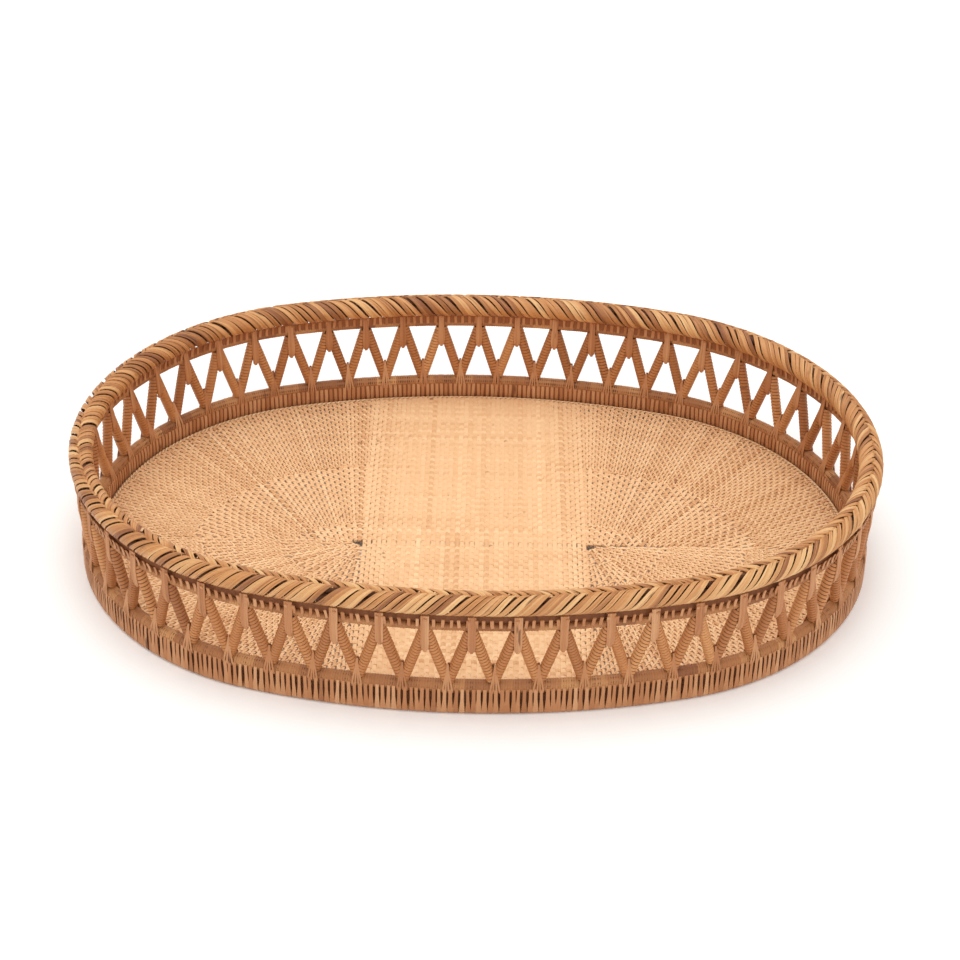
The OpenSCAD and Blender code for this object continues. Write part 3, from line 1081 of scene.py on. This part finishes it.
@dataclass
class FloorWeave(SubAssembly):
    """The woven floor: a seam in front of the middle, and stakes that run from it.

    In front of the seam the stakes fan from two foci at its ends, and behind it they spread
    as if from two points further forward. Between the foci they run straight across. The
    rows keep their distance from the foci, so they bend round the ends.
    """

    stake_pitch: float = 3.1 * MM
    row_pitch: float = 3.3 * MM
    stake_thickness: float = 1.45 * MM
    row_thickness: float = 1.1 * MM
    stake_wave: float = 0.4 * MM
    row_wave: float = 0.72 * MM
    border: tuple[float, ...] = (4.4 * MM, 1.6 * MM)
    border_clearance: float = 1.6 * MM
    back_reach: float = 47 * MM
    twist_pitch: float = 7 * MM
    twist: tuple[float, float] = (1.3 * MM, 1.2 * MM)

    def __post_init__(self) -> None:
        """Reads the floor's outline, height and middle part off the frame."""
        low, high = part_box("floor_weavers_under")[0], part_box("floor_weavers_top")[1]
        inset = high.x - self.tray.guide.half_length
        guide = self.tray.guide
        self.outline = Guide(
            guide.half_length + inset, guide.half_width + inset, guide.end_centre
        )
        self.middle = (low.z + high.z) / 2
        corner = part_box("floor_mat")
        self.focus, self.seam = corner[1].x, corner[0].y

    def dense(self, points: np.ndarray) -> np.ndarray:
        """Returns 1 where the weave is close, in the middle, falling to 0 in the fans."""
        behind = points[..., 1] > self.seam
        reach = self.focus + np.where(behind, 30, 5) * MM
        return np.clip((reach - np.abs(points[..., 0])) / (np.where(behind, 60, 24) * MM), 0, 1)

    def reach(self, origin: np.ndarray, heading: np.ndarray, depth: float) -> float:
        """Returns the distance from a point to where the outline is depth away.

        Args:
            origin: The point.
            heading: The direction to go.
            depth: Distance inside the outline.

        Returns:
            The distance.
        """
        t = np.linspace(0, 0.6, 6001)
        inside = self.outline.depth(origin + t[:, None] * heading) > depth
        return float(t[len(t) - 1 - np.argmax(inside[::-1])])

    def stake(
        self, origin: np.ndarray, angle: float, start: float, rank: int, spread: float = 0.0
    ) -> Stake:
        """Makes one stake that runs to the outline.

        Args:
            origin: Where distances along it count from.
            angle: Its heading, in radians.
            start: Distance at which it starts.
            rank: Its number among its neighbours.
            spread: Angle to its neighbours, in radians, or 0 between parallel ones.

        Returns:
            The stake.
        """
        heading = np.array([math.cos(angle), math.sin(angle)])
        end = self.reach(origin, heading, 0.0)
        stop = self.reach(origin, heading, self.border[0] + self.border_clearance)
        return Stake(origin, heading, start, end, stop, rank, spread)

    def fan(self, origin: np.ndarray, first: float, last: float, back: bool) -> list[Stake]:
        """Makes stakes that spread from a point and divide the outline evenly.

        Args:
            origin: The point.
            first: Angle of the first stake, in radians.
            last: Angle at which the fan ends.
            back: Whether the stakes start at the seam instead of at the point.

        Returns:
            The stakes, from the first angle to the last.
        """
        turns = np.linspace(first, last, 541)
        tips = []
        for turn in turns:
            heading = np.array([math.cos(turn), math.sin(turn)])
            tips.append(origin + self.reach(origin, heading, 0.0) * heading)
        run = np.concatenate([[0], np.linalg.norm(np.diff(tips, axis=0), axis=1).cumsum()])
        count = round(run[-1] / self.stake_pitch)
        angles = np.interp((np.arange(count) + 0.5) * run[-1] / count, run, turns)
        gaps = np.abs(np.gradient(angles))
        stakes = []
        for number, (angle, gap) in enumerate(zip(angles, gaps)):
            coarse = COARSEST_STEP
            while number % coarse:
                coarse //= 2
            seam = (self.seam - origin[1]) / math.sin(angle) if back else 0.0
            start = max(FINEST_GAP / gap / coarse, 1.0 * MM, seam)
            stake = self.stake(origin, angle, start, number, float(gap))
            stake.seam = seam
            stakes.append(stake)
        return [stake for stake in stakes if stake.end - stake.start > 5 * MM]

    def build(self) -> None:
        """Weaves the floor."""
        quarter, low = math.pi / 2, self.seam - self.back_reach
        count = round(2 * self.focus / self.stake_pitch)
        spots = -self.focus + (np.arange(count) + 0.5) * 2 * self.focus / count
        front, back = [], []
        for rank, x in enumerate(spots):
            front.append(self.stake(np.array([x, self.seam]), -quarter, 0.0, rank))
            back.append(self.stake(np.array([x, low]), quarter, self.back_reach, rank))
        edge = math.asin(self.back_reach / (self.outline.half_length - self.focus))
        left, right = np.array([-self.focus, self.seam]), np.array([self.focus, self.seam])
        far_left, far_right = np.array([-self.focus, low]), np.array([self.focus, low])
        fronts = (
            self.fan(left, 2 * quarter, 3 * quarter, False),
            self.fan(right, -quarter, 0.0, False),
        )
        backs = (
            self.fan(far_left, 2 * quarter - edge, quarter, True),
            self.fan(far_right, quarter, edge, True),
        )
        first = math.ceil(self.back_reach / self.row_pitch)
        self.lay_middle(front, back)
        self.lay_fans([stake for fan in (*fronts, *backs) for stake in fan])
        front_order = [*fronts[0], *front, *fronts[1]]
        back_order = [*backs[0], *back, *backs[1]]
        self.lay_rows("floor_front_rows", front_order, 1, -1, "floor_weavers_top")
        self.lay_rows("floor_back_rows", back_order, first, 1, "floor_weavers_under")
        self.lay_edge()

    def levels(self, stake: Stake) -> tuple[np.ndarray, np.ndarray]:
        """Returns the numbers of the rows that cross a stake, and their distances along it."""
        rows = np.arange(1, int(stake.stop / self.row_pitch) + 1)
        distance = rows * self.row_pitch
        kept = (distance > stake.start + 0.4 * MM) & (distance < stake.stop)
        return rows[kept], distance[kept]

    def run_of(self, stake: Stake) -> np.ndarray:
        """Returns a stake's path, lifted and lowered at each row."""
        rows, distance = self.levels(stake)
        lift = [stake.over(row, at) for row, at in zip(rows, distance)]
        edge = [self.reach(stake.origin, stake.heading, depth) for depth in self.border]
        last = rows[-1] if len(rows) else 0
        border = [stake.over(last + number + 1, stake.end) for number in range(len(edge))]
        t = np.concatenate([[stake.start], distance, edge, [stake.end]])
        z = self.middle + self.stake_wave * np.array([0, *lift, *border, 0])
        across = np.array([-stake.heading[1], stake.heading[0]])
        points = stake.at(t) + wobble(len(t), 0.1 * MM)[:, None] * across
        kept = np.concatenate([[True], np.diff(t) > 0.3 * MM])
        return np.column_stack([points, z])[kept]

    def lay_middle(self, front: list[Stake], back: list[Stake]) -> None:
        """Lays the stakes that run straight across the floor, through the seam.

        Args:
            front: Their parts in front of the seam.
            back: Their parts behind it.
        """
        bundle = Bundle()
        for near, far in zip(front, back):
            path = np.concatenate([self.run_of(near)[:0:-1], self.run_of(far)])
            width = (2.15 + 0.75 * self.dense(path)) * MM
            bundle.lay_flat(path, width, self.stake_thickness, (0.34, 0.12))
        self.hand_over(
            bundle, "floor_cross_stakes", Finish.FLOOR_CANE, "rattan_core", "floor_mat"
        )

    def lay_fans(self, stakes: list[Stake]) -> None:
        """Lays the stakes that spread, narrower where they crowd."""
        bundle = Bundle()
        for stake in stakes:
            path = self.run_of(stake)
            away = np.linalg.norm(path[:, :2] - stake.origin, axis=1)
            gaps = np.array([stake.gap(a, self.stake_pitch) for a in away])
            width = np.clip((0.64 + 0.27 * self.dense(path)) * gaps, 0.9 * MM, 2.75 * MM)
            bundle.lay_flat(path, width, self.stake_thickness, (0.48, 0.16))
        self.hand_over(
            bundle, "floor_fan_stakes", Finish.FLOOR_CANE, "rattan_core", "floor_stakes"
        )

    def lay_rows(
        self, name: str, stakes: list[Stake], first: int, side: int, node: str
    ) -> None:
        """Weaves the rows on one side of the seam, over and under the stakes.

        Args:
            name: The piece's name.
            stakes: The stakes there, from left to right.
            first: Number of the first row.
            side: 1 behind the seam, -1 in front of it.
            node: The CAD node that the piece stands for.
        """
        bundle = Bundle(longest=64)
        met = [set(self.levels(stake)[0].tolist()) for stake in stakes]
        for row in range(first, max(max(m, default=0) for m in met) + 1):
            run: list[Stake] = []
            level = row * self.row_pitch
            for number, stake in enumerate(stakes):
                if row in met[number] and stake.rank % stake.step(level) == 0:
                    run.append(stake)
                elif level < stake.seam or level >= stake.stop:
                    self.lay_row(bundle, run, row, side)
                    run = []
            self.lay_row(bundle, run, row, side)
        for number, depth in enumerate(self.border):
            points = [s.at(self.reach(s.origin, s.heading, depth)) for s in stakes]
            signs = [s.over(int(s.stop / self.row_pitch) + number + 1, s.end) for s in stakes]
            self.thread(bundle, np.array(points), np.array(signs), number, side)
        self.hand_over(bundle, name, Finish.FLOOR_CANE, "floor_cane", node)

    def lay_row(self, bundle: Bundle, stakes: list[Stake], row: int, side: int) -> None:
        """Lays one run of a row over the stakes that it meets.

        Args:
            bundle: Where the row goes.
            stakes: The stakes, from left to right.
            row: The row's number.
            side: 1 behind the seam, -1 in front of it.
        """
        if len(stakes) < 3:
            return
        level = row * self.row_pitch
        points = np.array([stake.at(level) for stake in stakes])
        signs = np.array([stake.over(row, level) for stake in stakes])
        self.thread(bundle, points, signs, row, side)

    def thread(
        self, bundle: Bundle, points: np.ndarray, signs: np.ndarray, row: int, side: int
    ) -> None:
        """Bends a strand through a run of crossings, pinched between the stakes.

        Args:
            bundle: Where the strand goes.
            points: Where it meets the stakes.
            signs: 1 where a stake passes over it.
            row: The row's number.
            side: 1 behind the seam, -1 in front of it.
        """
        count = len(points)
        path = np.zeros((2 * count - 1, 3))
        path[::2, :2] = points
        path[::2, 2] = self.middle - self.row_wave * signs
        middles = (points[1:] + points[:-1]) / 2
        heading = unit(points[1:] - points[:-1])
        outward = side * np.stack([-heading[:, 1], heading[:, 0]], -1)
        pinch = (0.82 - 0.62 * self.dense(middles)) * MM
        push = pinch * signs[:-1] + wobble(count - 1, 0.12 * MM)
        path[1::2, :2] = middles + push[:, None] * outward
        path[1::2, 2] = self.middle
        width = (1.35 + 1.65 * self.dense(path)) * MM * (1 + wobble(1, 0.06)[0])
        bundle.lay_flat(path, width, self.row_thickness, (0.38, 0.14))

    def lay_edge(self) -> None:
        """Lays the two strands that are twisted round the floor's edge."""
        guide, edge, bundle = self.tray.guide, self.tray.edge, Bundle()
        turns = round(guide.length / self.twist_pitch)
        share = np.linspace(0, 1, turns * 6 + 1)
        s = share * guide.length
        for strand in range(2):
            angle = 2 * math.pi * turns * share + math.pi * strand
            reach = edge.radius * 0.5
            d, z = edge.d + reach * np.cos(angle), edge.z + reach * np.sin(angle)
            path = guide.place(s, d, z)
            bundle.lay_long(path, guide.around(s, angle), *self.twist, (0.45, 0.12))
        self.hand_over(
            bundle, "floor_edge_twist", Finish.FLOOR_CANE, "cane_wrap", "floor_edge_rod"
        )


# --- stage -------------------------------------------------------------------------------


@dataclass
class Stage:
    """A plain pale floor, soft light and the camera."""

    azimuth: float = 0.00214
    elevation: float = 0.57596
    distance: float = 1.5065
    target: tuple[float, float, float] = (0.0028, 0.0115, 0.0398)
    roll: float = 0.01908
    lens: float = 87.9
    floor_size: float = 8.0

    def floor(self) -> None:
        """Lays the pale floor under the tray."""
        deselect()
        bpy.ops.mesh.primitive_plane_add(size=self.floor_size, location=(0, 0, -0.2 * MM))
        floor = bpy.context.object
        floor.name = "studio_floor"
        material, _, shader = new_material("white paper")
        shader.inputs["Base Color"].default_value = linear("#fbfbfb")
        shader.inputs["Roughness"].default_value = 0.9
        floor.data.materials.append(material)

    def light(self) -> None:
        """Sets a bright sky, a large soft light over the tray and a weaker one in front."""
        world = bpy.data.worlds.new("studio")
        bpy.context.scene.world = world
        world.use_nodes = True
        sky = world.node_tree.nodes["Background"]
        sky.inputs["Color"].default_value = (1.0, 0.99, 0.97, 1.0)
        sky.inputs["Strength"].default_value = 1.0
        for name, place, size, power in (
            ("overhead", (-0.25, 0.1, 2.2), 1.8, 16.0),
            ("front_fill", (0.7, -1.9, 1.5), 1.8, 5.0),
        ):
            lamp = bpy.data.lights.new(name, "AREA")
            lamp.shape, lamp.size, lamp.energy = "DISK", size, power
            lamp.color = (1.0, 0.985, 0.96)
            holder = bpy.data.objects.new(name, lamp)
            bpy.context.scene.collection.objects.link(holder)
            holder.location = place
            aim = Vector((0, 0, 0.03)) - Vector(place)
            holder.rotation_euler = aim.to_track_quat("-Z", "Y").to_euler()

    def camera(self) -> None:
        """Places the camera above the front, turned a little about its own axis."""
        a, e = self.azimuth, self.elevation
        back = Vector((math.sin(a) * math.cos(e), -math.cos(a) * math.cos(e), math.sin(e)))
        right = Vector((math.cos(a), math.sin(a), 0))
        up = back.cross(right)
        tilt = Matrix.Rotation(self.roll, 3, back)
        right, up = tilt @ right, tilt @ up
        turn = Matrix((right, up, back)).transposed()
        bpy.context.scene.view_settings.view_transform = "Standard"
        data = bpy.data.cameras.new("camera")
        data.lens, data.sensor_width = self.lens, 36.0
        camera = bpy.data.objects.new("camera", data)
        bpy.context.scene.collection.objects.link(camera)
        camera.matrix_world = Matrix.Translation(
            Vector(self.target) + self.distance * back
        ) @ turn.to_4x4()
        bpy.context.scene.camera = camera


def main() -> None:
    """Builds the looks in order."""
    logging.basicConfig(level=logging.INFO, format="%(name)s: %(message)s")
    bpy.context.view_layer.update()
    tray, finishes = Tray(), {}
    for kind in (FloorWeave, HoopWraps, StrutWraps, BaseLadder, Ties, RimLadder, RimBraid):
        log.info("building %s", kind.__name__)
        kind(tray, finishes).build()
    stage = Stage()
    stage.floor()
    stage.light()
    stage.camera()


if __name__ == "__main__":
    main()
